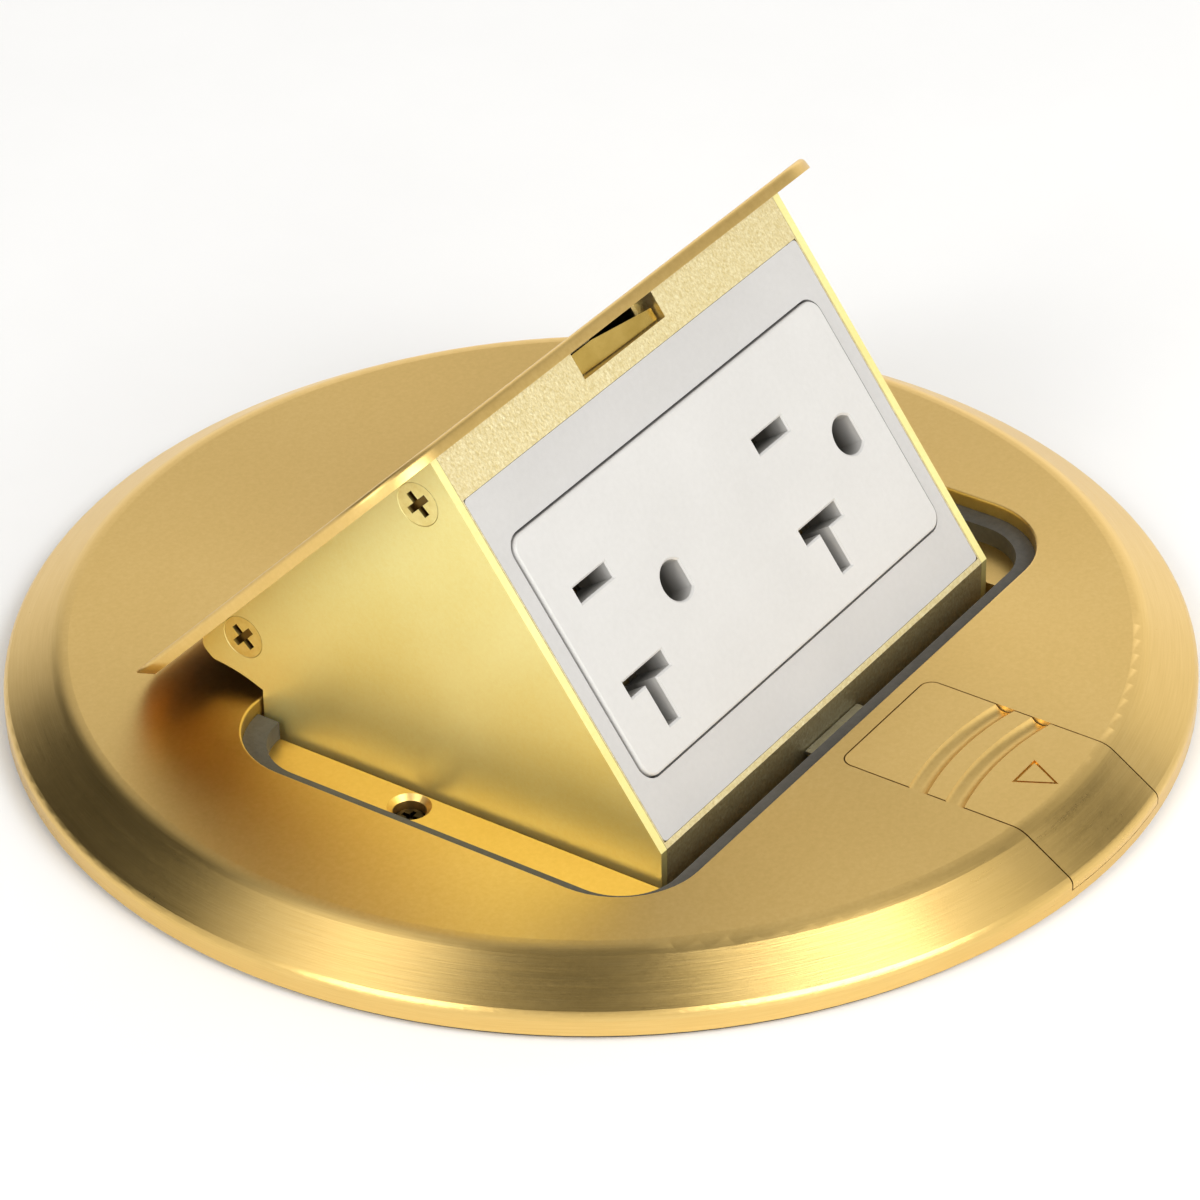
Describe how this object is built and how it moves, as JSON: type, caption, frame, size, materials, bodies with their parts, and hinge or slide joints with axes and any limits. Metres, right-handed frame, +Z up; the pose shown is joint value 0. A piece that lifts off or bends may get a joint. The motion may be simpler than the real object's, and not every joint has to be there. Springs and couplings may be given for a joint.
{
  "type": "pop-up floor socket box",
  "caption": "Round brass floor cover with a sprung lid that tilts up to show a duplex outlet, on a round steel box in the floor.",
  "frame": {"origin": "centre of the box's flat underside, in the plane of its feet; the finished floor is 70 mm above it", "axes": "+Z up out of the floor, +X along the lid's hinge, -Y towards the latch slider; stored open, with the lid tilted up"},
  "size_m": [0.15, 0.152, 0.125],
  "materials": {
    "cover_brass": "satin brushed brass",
    "panel_brass": "smooth satin brass sheet",
    "cast_brass": "as-cast brass with a fine sparkle",
    "brass_screw": "brass plated screw",
    "contact_brass": "plain brass strip",
    "rubber": "dark grey rubber",
    "dark_steel": "blackened steel screw",
    "steel": "zinc plated steel",
    "spring_steel": "spring steel",
    "galvanised_steel": "galvanised sheet steel",
    "zinc": "die-cast zinc",
    "green_steel": "green earthing screw",
    "white_plastic": "white moulded plastic",
    "white_gloss": "white moulded plastic, slightly glossy",
    "ivory_plastic": "light moulded plastic"
  },
  "bodies": {
    "housing": {"cover_plate": "cover_brass", "floor_gasket": "rubber", "hinge_frame": "cover_brass", "lid_gasket": "rubber", "cover_screws": "dark_steel", "hinge_pins": "steel", "torsion_springs": "spring_steel", "latch_spring": "spring_steel", "latch_retainer": "steel", "retainer_screws": "steel", "box_shell": "galvanised_steel", "knockout_plugs": "galvanised_steel", "conduit_connector": "zinc", "connector_locknut": "zinc", "connector_screw": "steel", "box_ring": "galvanised_steel", "ground_pad": "galvanised_steel", "ground_screw": "green_steel"},
    "pop_up_unit": {"lid": "cover_brass", "side_panel_right": "panel_brass", "side_panel_left": "panel_brass", "panel_screws": "brass_screw", "front_frame": "cast_brass", "catch_spring": "cast_brass", "outlet_surround": "white_plastic", "outlet_face": "white_gloss", "outlet_body": "ivory_plastic", "hot_contacts": "contact_brass", "neutral_contacts": "contact_brass", "ground_contacts": "contact_brass", "mounting_strap": "steel", "brass_terminals": "contact_brass", "silver_terminals": "steel", "strap_screws": "steel", "rear_cover": "steel", "cord_bushing": "rubber"},
    "latch": {"latch_slider": "cover_brass", "latch_tongue": "spring_steel", "tongue_rivets": "steel"}
  },
  "joints": [
    {"name": "pop_up", "type": "hinge", "parent": "housing", "child": "pop_up_unit", "pos_m": [0, 0.0335, 0.0598], "axis": [1, 0, 0], "range_deg": [0, 46.5], "stiffness_Nm_per_rad": 0.15, "springref_deg": -91.67, "deforming": ["torsion_springs", "latch_tongue"]},
    {"name": "latch_slide", "type": "slide", "parent": "housing", "child": "latch", "axis": [0, -1, 0], "range_m": [0, 0.003], "stiffness_N_per_m": 200, "springref_m": -0.004, "deforming": ["latch_spring"]}
  ]
}
